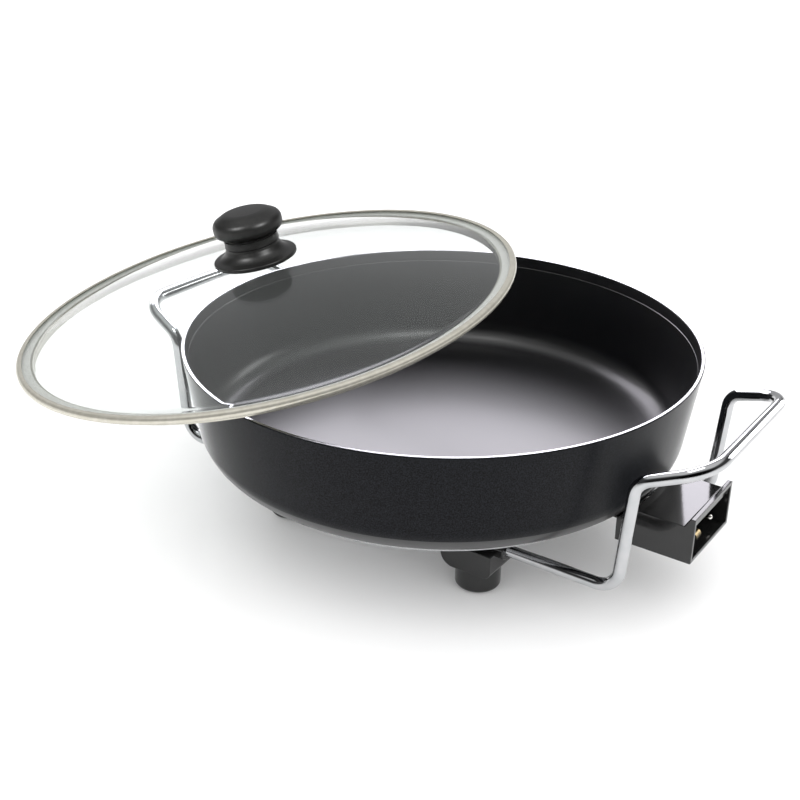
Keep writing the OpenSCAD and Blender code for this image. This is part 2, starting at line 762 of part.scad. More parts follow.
module knob_screw() {
    head_z = under_glass - 2 * gasket_t;
    top = knob_low + gasket_t + base_h + collar_h + cap_h / 2;
    color([0.78, 0.78, 0.76]) leaning() translate([0, 0, head_z])
        screw(knob_screw_d, 2 * knob_screw_d, 3, top - head_z);
}

module knob_washer() {
    color([0.78, 0.78, 0.76]) leaning() translate([0, 0, under_glass - 2 * gasket_t])
        tube(gasket_r - 1, knob_screw_d / 2 + fit, gasket_t);
}

module knob_gaskets() {
    color([0.50, 0.50, 0.50]) leaning() for (z = [under_glass - gasket_t, knob_low])
        translate([0, 0, z]) tube(gasket_r, knob_screw_d / 2 + fit, gasket_t);
}

pan();
heating_element();
element_clips();
element_clip_screws();
terminal_pin_front();
terminal_pin_back();
pin_insulators();
terminal_block();
probe_sleeve();
earth_contact();
socket_housing();
housing_bracket();
housing_screws();
bracket_screws();
foot_right_front();
foot_right_back();
foot_left_front();
foot_left_back();
foot_pads();
foot_screws();
handle_right();
handle_left();
lid_glass();
lid_band();
band_bead();
knob_cap();
knob_collar();
knob_base();
knob_insert();
knob_screw();
knob_washer();
knob_gaskets();
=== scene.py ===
"""Looks of a round electric skillet: coated pan, bent wire handles, moulded feet and socket
housing, and a domed glass lid that leans on the rim. +Z is up and +X points towards the socket.
The camera and the studio are in metres, and the pieces' own sizes in millimetres, times MM.
"""
import math

import bmesh
import bpy
from mathutils import Matrix, Vector


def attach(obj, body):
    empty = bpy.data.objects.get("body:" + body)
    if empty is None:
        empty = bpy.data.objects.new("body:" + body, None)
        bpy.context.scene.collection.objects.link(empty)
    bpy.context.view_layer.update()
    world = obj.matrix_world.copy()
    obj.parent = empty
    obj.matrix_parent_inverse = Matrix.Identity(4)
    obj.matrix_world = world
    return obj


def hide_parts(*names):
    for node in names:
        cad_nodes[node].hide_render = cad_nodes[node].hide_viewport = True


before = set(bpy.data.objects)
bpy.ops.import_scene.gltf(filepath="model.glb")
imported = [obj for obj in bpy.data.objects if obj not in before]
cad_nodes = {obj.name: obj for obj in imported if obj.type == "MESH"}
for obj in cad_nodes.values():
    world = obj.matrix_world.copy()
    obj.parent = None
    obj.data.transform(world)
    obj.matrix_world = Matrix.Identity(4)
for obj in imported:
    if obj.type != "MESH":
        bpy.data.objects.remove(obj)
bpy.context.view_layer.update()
scene = bpy.context.scene

# ---------------------------------------------------------------- camera
# Solved from the ellipses of the rim, the base and the lid: it looks down by 26 degrees
# and turns by half a degree about its own axis.
look_at = Vector((-0.0266, -0.0183, 0.0934))
camera_azimuth = math.radians(34.5)
camera_elevation = math.radians(26.0)
camera_roll = 0.0106
camera_distance = 1.0

towards_camera = Vector((
    math.sin(camera_azimuth) * math.cos(camera_elevation),
    -math.cos(camera_azimuth) * math.cos(camera_elevation),
    math.sin(camera_elevation)))
camera_data = bpy.data.cameras.new("camera")
camera_data.lens = 56.57
camera_data.sensor_width = 36.0
camera_data.clip_start = 0.05
camera = bpy.data.objects.new("camera", camera_data)
camera.matrix_world = (
    Matrix.Translation(look_at + camera_distance * towards_camera)
    @ towards_camera.to_track_quat("Z", "Y").to_matrix().to_4x4()
    @ Matrix.Rotation(camera_roll, 4, "Z"))
scene.collection.objects.link(camera)
scene.camera = camera

# ---------------------------------------------------------------- studio
# White floor in a white room, as soft light sees it. What gloss and chrome mirror is darker: a
# black wall on the camera's side, and behind a dark belt with a bright screen and soft boxes.
scene.view_settings.view_transform = "Standard"

world = bpy.data.worlds.new("studio")
world.use_nodes = True
world.cycles.sampling_method = "NONE"
scene.world = world
room = world.node_tree
room.nodes.clear()
direction = room.nodes.new("ShaderNodeTexCoord")
facing = room.nodes.new("ShaderNodeVectorMath")
facing.operation = "DOT_PRODUCT"
facing.inputs[1].default_value = (math.sin(camera_azimuth), -math.cos(camera_azimuth), 0.1)
black_wall = room.nodes.new("ShaderNodeValToRGB")
black_wall.color_ramp.elements[0].position = 0.42
black_wall.color_ramp.elements[0].color = (1, 1, 1, 1)
black_wall.color_ramp.elements[1].position = 0.80
black_wall.color_ramp.elements[1].color = (0.03, 0.03, 0.03, 1)
height = room.nodes.new("ShaderNodeSeparateXYZ")
belt = room.nodes.new("ShaderNodeValToRGB")
belt.color_ramp.elements[0].color = (0.85, 0.85, 0.85, 1)
belt.color_ramp.elements[1].color = (0.9, 0.9, 0.9, 1)
for position, light in ((0.06, 0.85), (0.16, 0.07), (0.62, 0.07), (0.80, 0.9)):
    stop = belt.color_ramp.elements.new(position)
    stop.color = (light, light, light, 1)
mirrored = room.nodes.new("ShaderNodeMix")
mirrored.data_type = "RGBA"
mirrored.blend_type = "MULTIPLY"
mirrored.inputs["Factor"].default_value = 1.0
towards_screen = room.nodes.new("ShaderNodeVectorMath")
towards_screen.operation = "DOT_PRODUCT"
towards_screen.inputs[1].default_value = (-0.47, 0.70, 0.53)
screen_edge = room.nodes.new("ShaderNodeMapRange")
screen_edge.inputs["From Min"].default_value = 0.74
screen_edge.inputs["From Max"].default_value = 0.90
screen = room.nodes.new("ShaderNodeMix")
screen.data_type = "RGBA"
screen.inputs["B"].default_value = (0.5, 0.5, 0.51, 1)
ray = room.nodes.new("ShaderNodeLightPath")
seen = room.nodes.new("ShaderNodeMix")
seen.data_type = "RGBA"
seen.inputs["B"].default_value = (1.75, 1.75, 1.75, 1)
sky = room.nodes.new("ShaderNodeBackground")
sky_out = room.nodes.new("ShaderNodeOutputWorld")
room.links.new(direction.outputs["Generated"], facing.inputs[0])
room.links.new(facing.outputs["Value"], black_wall.inputs["Fac"])
room.links.new(direction.outputs["Generated"], height.inputs["Vector"])
room.links.new(height.outputs["Z"], belt.inputs["Fac"])
room.links.new(black_wall.outputs["Color"], mirrored.inputs["A"])
room.links.new(belt.outputs["Color"], mirrored.inputs["B"])
room.links.new(direction.outputs["Generated"], towards_screen.inputs[0])
room.links.new(towards_screen.outputs["Value"], screen_edge.inputs["Value"])
room.links.new(screen_edge.outputs["Result"], screen.inputs["Factor"])
room.links.new(mirrored.outputs["Result"], screen.inputs["A"])
room.links.new(screen.outputs["Result"], seen.inputs["A"])
room.links.new(ray.outputs["Diffuse Depth"], seen.inputs["Factor"])
room.links.new(seen.outputs["Result"], sky.inputs["Color"])
room.links.new(sky.outputs["Background"], sky_out.inputs["Surface"])


def soft_box(name, place, aim, width, height, power, tint=(1, 1, 1)):
    """Rectangular area light at a place, aimed at a point"""
    data = bpy.data.lights.new(name, "AREA")
    data.shape = "RECTANGLE"
    data.size = width
    data.size_y = height
    data.energy = power
    data.color = tint
    lamp = bpy.data.objects.new(name, data)
    away = Vector(place) - Vector(aim)
    turned_to_aim = away.to_track_quat("Z", "Y").to_matrix().to_4x4()
    lamp.matrix_world = Matrix.Translation(place) @ turned_to_aim
    scene.collection.objects.link(lamp)
    return lamp


boxes = [
    soft_box("top_box", (0.05, -0.05, 1.5), (0, 0, 0.1), 0.55, 0.55, 5),
    soft_box("back_box", (-1.25, 1.24, 1.3), (0.02, -0.05, 0.07), 2.4, 1.2, 62, (0.95, 0.92, 1.0)),
    soft_box("left_box", (-1.5, 0.35, 0.45), (-0.1, -0.1, 0.1), 0.7, 0.8, 4),
    soft_box("right_box", (0.75, 1.35, 0.45), (0.15, 0.0, 0.1), 0.7, 0.8, 10)]

# Floor of white acrylic that mirrors the wire faintly
floor_size = 12.0
floor_bm = bmesh.new()
bmesh.ops.create_grid(floor_bm, x_segments=1, y_segments=1, size=floor_size)
floor_mesh = bpy.data.meshes.new("floor")
floor_bm.to_mesh(floor_mesh)
floor_bm.free()
floor = bpy.data.objects.new("floor", floor_mesh)
scene.collection.objects.link(floor)


def finish(name, **values):
    """Principled material with the given socket values"""
    made = bpy.data.materials.new(name)
    made.use_nodes = True
    shader = made.node_tree.nodes["Principled BSDF"]
    for socket, value in values.items():
        shader.inputs[socket.replace("_", " ")].default_value = value
    return made


def speckle(made, scale, colours, detail=3.0):
    """Base colour that varies between two colours in a noise of the given scale"""
    tree = made.node_tree
    where = tree.nodes.new("ShaderNodeTexCoord")
    noise = tree.nodes.new("ShaderNodeTexNoise")
    noise.inputs["Scale"].default_value = scale
    noise.inputs["Detail"].default_value = detail
    ramp = tree.nodes.new("ShaderNodeValToRGB")
    ramp.color_ramp.elements[0].position = 0.35
    ramp.color_ramp.elements[1].position = 0.68
    for element, colour in zip(ramp.color_ramp.elements, colours):
        element.color = (*colour, 1)
    tree.links.new(where.outputs["Object"], noise.inputs["Vector"])
    tree.links.new(noise.outputs["Fac"], ramp.inputs["Fac"])
    tree.links.new(ramp.outputs["Color"], tree.nodes["Principled BSDF"].inputs["Base Color"])
    return noise


def grain(made, noise, height, roughness=None):
    """Bump from a noise, and roughness that varies with it between two values where given"""
    tree = made.node_tree
    shader = tree.nodes["Principled BSDF"]
    bump = tree.nodes.new("ShaderNodeBump")
    bump.inputs["Strength"].default_value = 1.0
    bump.inputs["Distance"].default_value = height
    tree.links.new(noise.outputs["Fac"], bump.inputs["Height"])
    tree.links.new(bump.outputs["Normal"], shader.inputs["Normal"])
    if roughness:
        rough = tree.nodes.new("ShaderNodeMapRange")
        rough.inputs["To Min"].default_value = roughness[0]
        rough.inputs["To Max"].default_value = roughness[1]
        tree.links.new(noise.outputs["Fac"], rough.inputs["Value"])
        tree.links.new(rough.outputs["Result"], shader.inputs["Roughness"])


acrylic = finish("floor_acrylic", Roughness=0.1, Specular_IOR_Level=0.12)
speckle(acrylic, 2.0, [(0.90, 0.90, 0.90), (0.93, 0.93, 0.93)])
floor.data.materials.append(acrylic)

# ---------------------------------------------------------------- pan
# Deep aluminium pan, turned bare at the rim and the base, with a grained charcoal coating
# outside and a smoother black one inside. Its base carries a cast rib for the element.
MM = 0.001
rim_r, rim_z = 200.0, 150.0
base_r, base_z, floor_z = 187.0, 62.0, 70.0
wall_slope = (rim_r - base_r) / (rim_z - base_z)
rim_w, step_drop, step_w = 3.2, 9.0, 0.4
plate_r, outer_round, inner_round = 171.0, 30.0, 20.0
rim_round, step_round, plate_round = 0.9, 0.5, 0.3


def turned(corners, steps, closed=False):
    """Mesh turned about Z from (radius, height, rounding) corners in millimetres"""
    bm = bmesh.new()
    verts = [bm.verts.new((r * MM, 0, z * MM)) for r, z, _ in corners]
    count = len(corners)
    for i in range(count if closed else count - 1):
        bm.edges.new((verts[i], verts[(i + 1) % count]))
    for i, (_, _, rounding) in enumerate(corners):
        if not rounding:
            continue
        here = Vector(corners[i][:2])
        before = here - Vector(corners[i - 1][:2])
        after = Vector(corners[(i + 1) % count][:2]) - here
        bend = before.angle(after)
        bmesh.ops.bevel(
            bm, geom=[verts[i]], offset=rounding * MM * math.tan(bend / 2), offset_type="OFFSET",
            affect="VERTICES", segments=max(3, round(math.degrees(bend) / 5)), profile=0.5,
            material=-1, clamp_overlap=False)
    bmesh.ops.remove_doubles(bm, verts=bm.verts, dist=1e-6)
    bmesh.ops.spin(
        bm, geom=bm.verts[:] + bm.edges[:], cent=(0, 0, 0), axis=(0, 0, 1),
        angle=math.tau, steps=steps, use_merge=True)
    bmesh.ops.remove_doubles(bm, verts=bm.verts, dist=1e-6)
    bmesh.ops.recalc_face_normals(bm, faces=bm.faces)
    return bm


def shown(name, bm, body, materials, node):
    """Object from a bmesh, smooth up to 35 degrees, that rides on a body and replaces a node"""
    mesh = bpy.data.meshes.new(name)
    bm.to_mesh(mesh)
    bm.free()
    mesh.polygons.foreach_set("use_smooth", [True] * len(mesh.polygons))
    mesh.set_sharp_from_angle(angle=math.radians(35))
    for made in materials:
        mesh.materials.append(made)
    piece = bpy.data.objects.new(name, mesh)
    scene.collection.objects.link(piece)
    even = piece.modifiers.new("even_shading", "WEIGHTED_NORMAL")
    even.keep_sharp = True
    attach(piece, body)
    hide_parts(node)
    return piece


def wall_at(z, inward):
    """Radius of the pan's outer wall at a height, less a distance inwards"""
    return base_r + (z - base_z) * wall_slope - inward


# The turned base cuts the fillet, so the coated wall starts at the base's edge
slope_angle = math.atan(wall_slope)
round_mid_r = base_r + outer_round * (math.tan(slope_angle) - 1 / math.cos(slope_angle))
round_drop = math.sqrt(outer_round ** 2 - (plate_r - round_mid_r) ** 2)
plate_edge = outer_round - round_drop
rise = (plate_r - round_mid_r) / round_drop
turn_r = (base_r + (plate_edge - rise * plate_r) * wall_slope) / (1 - rise * wall_slope)
turn_z = base_z + plate_edge + rise * (turn_r - plate_r)
inner_z = rim_z - step_drop
pan_bm = turned([
    (0, base_z, 0),
    (plate_r, base_z, plate_round),
    (plate_r, base_z + plate_edge, 0),
    (turn_r, turn_z, outer_round),
    (rim_r, rim_z, rim_round),
    (rim_r - rim_w, rim_z, rim_round),
    (wall_at(inner_z, rim_w), inner_z, step_round),
    (wall_at(inner_z - step_w, rim_w + step_w), inner_z - step_w, step_round),
    (wall_at(floor_z, rim_w + step_w), floor_z, inner_round),
    (0, floor_z, 0)], steps=256)

# Rib with the element's groove, open where the element's ends turn out to the pins
ring_r, element_z = 84.0, 57.0
rib_half, groove_r, sunk = 7.0, 3.8, 1.0
pin_y, element_turn = 16.0, 16.0
rib_top = base_z + sunk
opening = math.asin((pin_y + element_turn) / (ring_r + element_turn))
rib = bmesh.new()
rib_verts = [rib.verts.new((r * MM, 0, z * MM)) for r, z in (
    (ring_r - rib_half, rib_top), (ring_r - rib_half, element_z), (ring_r - groove_r, element_z),
    (ring_r, element_z + groove_r), (ring_r + groove_r, element_z), (ring_r + rib_half, element_z),
    (ring_r + rib_half, rib_top))]
rib_face = rib.faces.new(rib_verts)
bmesh.ops.rotate(rib, verts=rib.verts, matrix=Matrix.Rotation(opening, 3, "Z"))
bmesh.ops.spin(
    rib, geom=[rib_face] + rib.edges[:] + rib.verts[:], cent=(0, 0, 0), axis=(0, 0, 1),
    angle=math.tau - 2 * opening, steps=96)
bmesh.ops.recalc_face_normals(rib, faces=rib.faces)

# Bosses of the clip screws, a pair at each clip, and the saddle of the probe's sleeve
boss_out, boss_r = 12.5, 4.5
boss_middle = (element_z + rib_top) / 2
for turn in (90, 180, 270):
    for out in (-boss_out, boss_out):
        boss_place = Matrix.Rotation(math.radians(turn), 4, "Z") @ Matrix.Translation(
            ((ring_r + out) * MM, 0, boss_middle * MM))
        bmesh.ops.create_cone(
            rib, cap_ends=True, segments=32, radius1=boss_r * MM, radius2=boss_r * MM,
            depth=(rib_top - element_z) * MM, matrix=boss_place)
saddle_size = Vector((44.0, 14.0, 3.0))
saddle_middle = Vector((121.5, 0, 61.4))
saddle = bmesh.ops.create_cube(rib, size=1.0)["verts"]
bmesh.ops.scale(rib, verts=saddle, vec=saddle_size * MM)
bmesh.ops.translate(rib, verts=saddle, vec=saddle_middle * MM)
rib_mesh = bpy.data.meshes.new("rib")
rib.to_mesh(rib_mesh)
rib.free()
pan_bm.from_mesh(rib_mesh)
bpy.data.meshes.remove(rib_mesh)

# The rim is bare on its level top only, and the base out to the edge of the turned plate
coat_outside, coat_inside, bare = 0, 1, 2
rim_depth, rim_level = 0.7, 0.93
for face in pan_bm.faces:
    middle = face.calc_center_median() / MM
    radius = math.hypot(middle.x, middle.y)
    on_rim = middle.z > rim_z - rim_depth and face.normal.z > rim_level
    under = middle.z < base_z + plate_edge and radius < plate_r + 0.1
    inside = middle.z > floor_z - 1 and radius < wall_at(middle.z, rim_w / 2)
    face.material_index = bare if on_rim or under else coat_inside if inside else coat_outside

outer_coat = finish("outer_coat", Specular_IOR_Level=0.1, Sheen_Weight=0.85, Sheen_Roughness=0.2)
outer_noise = speckle(
    outer_coat, 1100.0, [(0.0003, 0.0005, 0.0008), (0.010, 0.011, 0.014)], detail=2.0)
grain(outer_coat, outer_noise, 0.00008, (0.24, 0.40))
inner_coat = finish("inner_coat", Specular_IOR_Level=0.6, Coat_Weight=0.25, Coat_Roughness=0.2)
inner_noise = speckle(
    inner_coat, 1700.0, [(0.0005, 0.0005, 0.001), (0.003, 0.003, 0.005)], detail=2.0)
grain(inner_coat, inner_noise, 0.000012, (0.34, 0.42))
bare_metal = finish("turned_aluminium", Metallic=1.0)
bare_noise = speckle(bare_metal, 700.0, [(0.32, 0.33, 0.34), (0.42, 0.42, 0.43)])
grain(bare_metal, bare_noise, 0.00002, (0.18, 0.30))
shown("pan_body", pan_bm, "base", [outer_coat, inner_coat, bare_metal], "pan")

# ---------------------------------------------------------------- element, clips and screws
# Tubular steel element, dulled by heat, that lies in the rib's groove under bent clips.
# Clips, screws and the probe's sleeve are zinc-plated steel.
sheath = finish("element_sheath", Metallic=0.9)
sheath_noise = speckle(sheath, 260.0, [(0.26, 0.24, 0.22), (0.48, 0.46, 0.43)])
grain(sheath, sheath_noise, 0.00003, (0.38, 0.58))
plated = finish("plated_steel", Metallic=1.0)
plated_noise = speckle(plated, 420.0, [(0.58, 0.58, 0.55), (0.74, 0.74, 0.72)])
grain(plated, plated_noise, 0.00002, (0.24, 0.38))


def coat_node(node, made):
    """Gives a CAD node a material"""
    kept = cad_nodes[node]
    kept.data.materials.clear()
    kept.data.materials.append(made)


coat_node("heating_element", sheath)
for node in (
        "element_clips", "element_clip_screws", "foot_screws", "housing_screws", "bracket_screws",
        "probe_sleeve", "knob_screw", "knob_washer"):
    coat_node(node, plated)

# ---------------------------------------------------------------- feet
# Moulded phenolic: a round leg, a crossbar as wide as the leg with rounded undersides, a column
# up to the pan's base, and a round boss that takes the wire. A rubber pad sits in each leg.
foot_x, foot_y = 88.5, 81.5
wire_z, wire_d = 37.7, 9.2
leg_r, leg_h, leg_round, column_r, column_round = 17.0, 18.0, 3.0, 15.0, 0.5
foot_bottom, pad_r, pad_seat = 1.5, 12.6, 3.0
bar_front, bar_back, bar_h = 19.5, 23.0, 20.0
bar_front_round, bar_back_round, edge_round = 6.0, 11.0, 0.8
wire_boss_r, wire_boss_l = 7.6, 24.0
leg_top = leg_h + 1
close = 0.01

phenolic = finish("gloss_phenolic", Specular_IOR_Level=0.6)
phenolic_noise = speckle(phenolic, 300.0, [(0.006, 0.006, 0.006), (0.012, 0.012, 0.012)])
grain(phenolic, phenolic_noise, 0.00001, (0.06, 0.12))


def eased(bm, edges, rounding, segments=3, clamp=False):
    """Rounds edges off by a radius in millimetres"""
    bmesh.ops.bevel(
        bm, geom=edges, offset=rounding * MM, offset_type="OFFSET", affect="EDGES",
        segments=segments, profile=0.5, material=-1, clamp_overlap=clamp)


for node, side_x, side_y in (
        ("foot_right_front", 1, -1), ("foot_right_back", 1, 1),
        ("foot_left_front", -1, -1), ("foot_left_back", -1, 1)):
    foot_bm = turned([
        (0, pad_seat, 0), (pad_r, pad_seat, 0), (pad_r, foot_bottom, 0),
        (leg_r, foot_bottom, leg_round), (leg_r, leg_top, 0), (column_r, leg_top, 0),
        (column_r, base_z, column_round), (0, base_z, 0)], steps=64)
    bar_size = Vector((bar_front + bar_back, 2 * leg_r, bar_h))
    bar_middle = Vector(((bar_front - bar_back) / 2, 0, leg_h + bar_h / 2))
    bar = bmesh.ops.create_cube(foot_bm, size=1.0)["verts"]
    bmesh.ops.scale(foot_bm, verts=bar, vec=bar_size * MM)
    bmesh.ops.translate(foot_bm, verts=bar, vec=bar_middle * MM)
    bar_edges = {edge for vert in bar for edge in vert.link_edges}
    for end_x, rounding in ((-bar_back, bar_back_round), (bar_front, bar_front_round)):
        low = [
            e for e in bar_edges if e.is_valid
            and all(abs(v.co.x / MM - end_x) < close for v in e.verts)
            and all(abs(v.co.z / MM - leg_h) < close for v in e.verts)]
        eased(foot_bm, low, rounding, segments=10)
    crisp = [
        e for e in foot_bm.edges
        if len(e.link_faces) == 2 and e.calc_face_angle() > math.radians(60)
        and max(abs(v.co.y / MM) for v in e.verts) > leg_r - close
        and min(v.co.z / MM for v in e.verts) > leg_h - close]
    eased(foot_bm, crisp, edge_round)
    wire_boss_place = (
        Matrix.Translation((wire_boss_l / 2 * MM, 0, wire_z * MM))
        @ Matrix.Rotation(math.pi / 2, 4, "Y"))
    wire_boss = bmesh.ops.create_cone(
        foot_bm, cap_ends=True, segments=48, radius1=wire_boss_r * MM, radius2=wire_boss_r * MM,
        depth=wire_boss_l * MM, matrix=wire_boss_place)["verts"]
    lip = [
        e for e in foot_bm.edges if e.verts[0] in wire_boss and e.verts[1] in wire_boss
        and min(v.co.x / MM for v in e.verts) > wire_boss_l - close]
    eased(foot_bm, lip, edge_round)
    if side_x < 0:
        bmesh.ops.scale(foot_bm, verts=foot_bm.verts, vec=(-1, 1, 1))
        bmesh.ops.recalc_face_normals(foot_bm, faces=foot_bm.faces)
    foot_place = Vector((side_x * foot_x, side_y * foot_y, 0))
    bmesh.ops.translate(foot_bm, verts=foot_bm.verts, vec=foot_place * MM)
    shown(node + "_shell", foot_bm, "base", [phenolic], node)

rubber = finish("pad_rubber", Roughness=0.75, Specular_IOR_Level=0.3)
rubber_noise = speckle(rubber, 800.0, [(0.02, 0.02, 0.02), (0.05, 0.05, 0.05)])
grain(rubber, rubber_noise, 0.00004)
coat_node("foot_pads", rubber)

# ---------------------------------------------------------------- wire handles
# One chromed steel wire each side, bent cold: out of a foot, up past the rim, round the end
# bar and back into the other foot.
wire_start_x, riser_low_x, riser_top_x = 95.6, 198.5, 205.0
riser_top_z, end_bar_x, end_bar_z, grip_taper = 124.5, 250.5, 141.0, 11.5
low_bend_r, bend_r, corner_r = 17.0, 14.0, 28.0

chrome = finish("chrome", Metallic=1.0)
chrome_noise = speckle(chrome, 90.0, [(0.46, 0.47, 0.48), (0.52, 0.52, 0.53)])
grain(chrome, chrome_noise, 0.000004, (0.04, 0.10))


def bent_wire(corners, roundings, across):
    """Wire of round section that follows corners in millimetres, by straight runs and spun bends"""
    bm = bmesh.new()
    points = [Vector(c) * MM for c in corners]
    heading = (points[1] - points[0]).normalized()
    place = Matrix.Translation(points[0]) @ heading.to_track_quat("Z", "Y").to_matrix().to_4x4()
    bmesh.ops.create_circle(bm, cap_ends=True, segments=40, radius=across / 2 * MM, matrix=place)
    end = bm.edges[:]
    at = points[0]
    for i in range(1, len(points)):
        heading = (points[i] - points[i - 1]).normalized()
        cut = 0.0
        if i < len(points) - 1:
            after = (points[i + 1] - points[i]).normalized()
            bend = heading.angle(after)
            cut = roundings[i] * MM * math.tan(bend / 2)
        stop = points[i] - heading * cut
        grown = bmesh.ops.extrude_edge_only(bm, edges=end)["geom"]
        end = [g for g in grown if isinstance(g, bmesh.types.BMEdge)]
        tips = [g for g in grown if isinstance(g, bmesh.types.BMVert)]
        bmesh.ops.translate(bm, verts=tips, vec=stop - at)
        at = stop
        if cut:
            axis = heading.cross(after).normalized()
            centre = stop + axis.cross(heading) * roundings[i] * MM
            last = bmesh.ops.spin(
                bm, geom=end + tips, cent=centre, axis=axis, angle=bend,
                steps=max(6, round(math.degrees(bend) / 5)))["geom_last"]
            end = [g for g in last if isinstance(g, bmesh.types.BMEdge)]
            at = points[i] + after * cut
    bmesh.ops.edgenet_fill(bm, edges=end)
    bmesh.ops.remove_doubles(bm, verts=bm.verts, dist=1e-6)
    bmesh.ops.recalc_face_normals(bm, faces=bm.faces)
    return bm


for node, side_x in (("handle_right", 1), ("handle_left", -1)):
    half = [
        (wire_start_x, foot_y, wire_z), (riser_low_x, foot_y, wire_z),
        (riser_top_x, foot_y, riser_top_z), (end_bar_x, foot_y - grip_taper, end_bar_z)]
    out = [(side_x * x, -y, z) for x, y, z in half]
    back = [(side_x * x, y, z) for x, y, z in half[::-1]]
    rounds = [0, low_bend_r, bend_r, corner_r, corner_r, bend_r, low_bend_r, 0]
    wire_bm = bent_wire(out + back, rounds, wire_d)
    shown(node + "_wire", wire_bm, "base", [chrome], node)

# ---------------------------------------------------------------- socket housing
# Shell moulded in the same glossy phenolic as the feet, with a tall collar that slopes up
# behind its mouth, a hollow at its back that follows the pan's rounded edge, and a deep socket.
housing_x, mouth_x, socket_back = 173.5, 231.5, 195.5
housing_half, housing_low, housing_top = 34.0, 45.4, 81.0
shell_t, collar_l, collar_slope, body_top, recess_l = 2.8, 7.5, 4.0, 74.0, 2.5
hollow = [(186.6, body_top), (183.2, 70.2), (178.2, 66.2), (housing_x, 63.4)]
eased_from_x, eased_past_x, housing_round = 180.0, 192.0, 0.5


def pushed(bm, faces, move):
    """Extrudes faces by a move in millimetres and gives the faces at the new end"""
    grown = bmesh.ops.extrude_face_region(bm, geom=faces)["geom"]
    tips = [g for g in grown if isinstance(g, bmesh.types.BMVert)]
    bmesh.ops.translate(bm, verts=tips, vec=Vector(move) * MM)
    return [g for g in grown if isinstance(g, bmesh.types.BMFace)]


housing = bmesh.new()
side_line = [
    (housing_x, housing_low), (mouth_x, housing_low), (mouth_x, housing_top),
    (mouth_x - collar_l + collar_slope, housing_top), (mouth_x - collar_l, body_top)] + hollow
side_verts = [housing.verts.new((x * MM, -housing_half * MM, z * MM)) for x, z in side_line]
side_face = housing.faces.new(side_verts)
pushed(housing, [side_face], (0, 2 * housing_half, 0))
bmesh.ops.recalc_face_normals(housing, faces=housing.faces)
mouth = [
    f for f in housing.faces
    if f.normal.x > 0.9 and f.calc_center_median().x / MM > mouth_x - 1]
bmesh.ops.inset_region(housing, faces=mouth, thickness=shell_t * MM, use_even_offset=True)

# A shallow recess takes the whole mouth, and the socket goes on below the body's top wall
recess_floor = pushed(housing, mouth, (-recess_l, 0, 0))
bmesh.ops.delete(housing, geom=mouth, context="FACES")
ledge = (
    recess_floor + [e for f in recess_floor for e in f.edges]
    + [v for f in recess_floor for v in f.verts])
bmesh.ops.bisect_plane(
    housing, geom=ledge, plane_co=(0, 0, (body_top - shell_t) * MM), plane_no=(0, 0, 1))
socket = [
    f for f in housing.faces
    if abs(f.calc_center_median().x / MM - mouth_x + recess_l) < close
    and f.calc_center_median().z / MM < (housing_low + housing_top) / 2]
pushed(housing, socket, (socket_back - mouth_x + recess_l, 0, 0))
bmesh.ops.delete(housing, geom=socket, context="FACES")
bmesh.ops.recalc_face_normals(housing, faces=housing.faces)
crisp = [
    e for e in housing.edges
    if len(e.link_faces) == 2 and e.calc_face_angle() > math.radians(40)
    and min(v.co.x for v in e.verts) > eased_from_x * MM
    and max(v.co.x for v in e.verts) > eased_past_x * MM]
eased(housing, crisp, housing_round, clamp=True)
shown("housing_shell", housing, "base", [phenolic], "socket_housing")

# Inside it: ceramic block and bushes, nickel-plated pins, brass earth strip, steel bracket
ceramic = finish("steatite", Roughness=0.7)
ceramic_noise = speckle(ceramic, 500.0, [(0.74, 0.71, 0.64), (0.84, 0.82, 0.76)])
grain(ceramic, ceramic_noise, 0.00003)
nickel = finish("nickel", Metallic=1.0)
nickel_noise = speckle(nickel, 300.0, [(0.76, 0.74, 0.70), (0.86, 0.84, 0.80)])
grain(nickel, nickel_noise, 0.00001, (0.12, 0.24))
# Brass is toned far darker than bright brass: painted shade, so the earth strip stays dim deep in the
# socket. The knob's insert shares this colour.
brass = finish("contact_brass", Metallic=1.0)
brass_noise = speckle(brass, 300.0, [(0.22, 0.17, 0.09), (0.30, 0.23, 0.12)])
grain(brass, brass_noise, 0.00001, (0.22, 0.36))
black_steel = finish("black_steel", Roughness=0.45)
black_noise = speckle(black_steel, 600.0, [(0.012, 0.012, 0.012), (0.03, 0.03, 0.03)])
grain(black_steel, black_noise, 0.00003)
for node, made in (
        ("terminal_block", ceramic), ("pin_insulators", ceramic), ("terminal_pin_front", nickel),
        ("terminal_pin_back", nickel), ("earth_contact", brass), ("knob_insert", brass),
        ("housing_bracket", black_steel)):
    coat_node(node, made)

# ---------------------------------------------------------------- lid
# Loose lid, leaning across the rim: a pressed glass dome whose edge is clamped in a rolled
# stainless band with a skirt, over a silicone bead.
lean, lean_heading = math.radians(11), math.radians(216)
lid_place = (
    Matrix.Translation((-0.14, -0.044, 0.1599))
    @ Matrix.Rotation(lean_heading, 4, "Z")
    @ Matrix.Rotation(lean, 4, "Y")
    @ Matrix.Rotation(-lean_heading, 4, "Z"))
lid_r, roll_r, band_t = 202.0, 3.0, 0.8
skirt_r, skirt_low = 189.5, -9.0
glass_r, glass_low, glass_t, glass_mid, glass_round = 199.6, -1.6, 3.6, 32.4, 0.5
screw_hole_r, dome_r, tangent_r = 4, 528, 96.8
flare_r, flare_round = 187.5, 8


def leaning(bm):
    """Moves a lid piece from its level drawing to where the lid leans"""
    bmesh.ops.transform(bm, matrix=lid_place, verts=bm.verts)
    return bm


